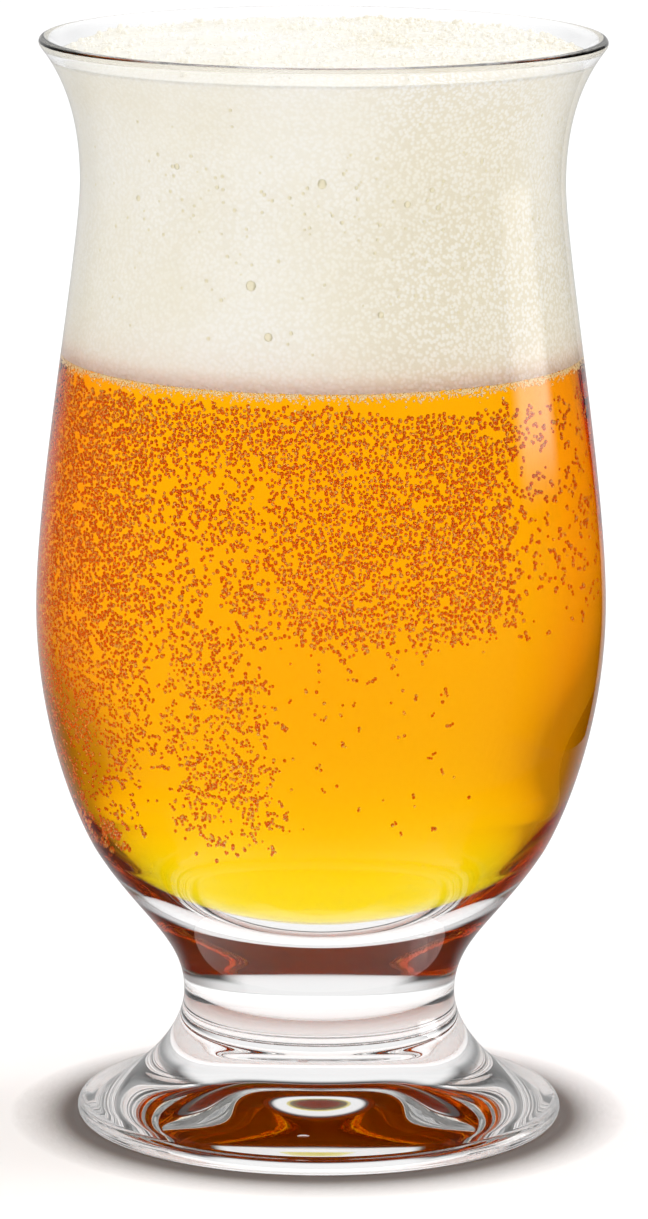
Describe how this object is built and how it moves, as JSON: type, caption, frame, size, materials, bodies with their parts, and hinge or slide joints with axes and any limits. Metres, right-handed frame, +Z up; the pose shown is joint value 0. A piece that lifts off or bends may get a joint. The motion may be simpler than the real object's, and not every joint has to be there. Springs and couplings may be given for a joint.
{
  "type": "footed beer glass",
  "caption": "Clear footed beer glass with a flared rim, full bowl and solid stem, filled with amber beer under a head of white foam.",
  "frame": {"origin": "centre of the flat ring under the foot, on the surface that the glass stands on", "axes": "+Z up along the axis that the glass is turned about; the glass is round, so +X and +Y are any two level directions"},
  "size_m": [0.0794, 0.0792, 0.1525],
  "materials": {
    "clear_glass": "polished",
    "beer": "gloss",
    "foam": "matte"
  },
  "bodies": {
    "root": {"glass": "clear_glass", "beer": "beer", "foam": "foam"}
  },
  "joints": []
}
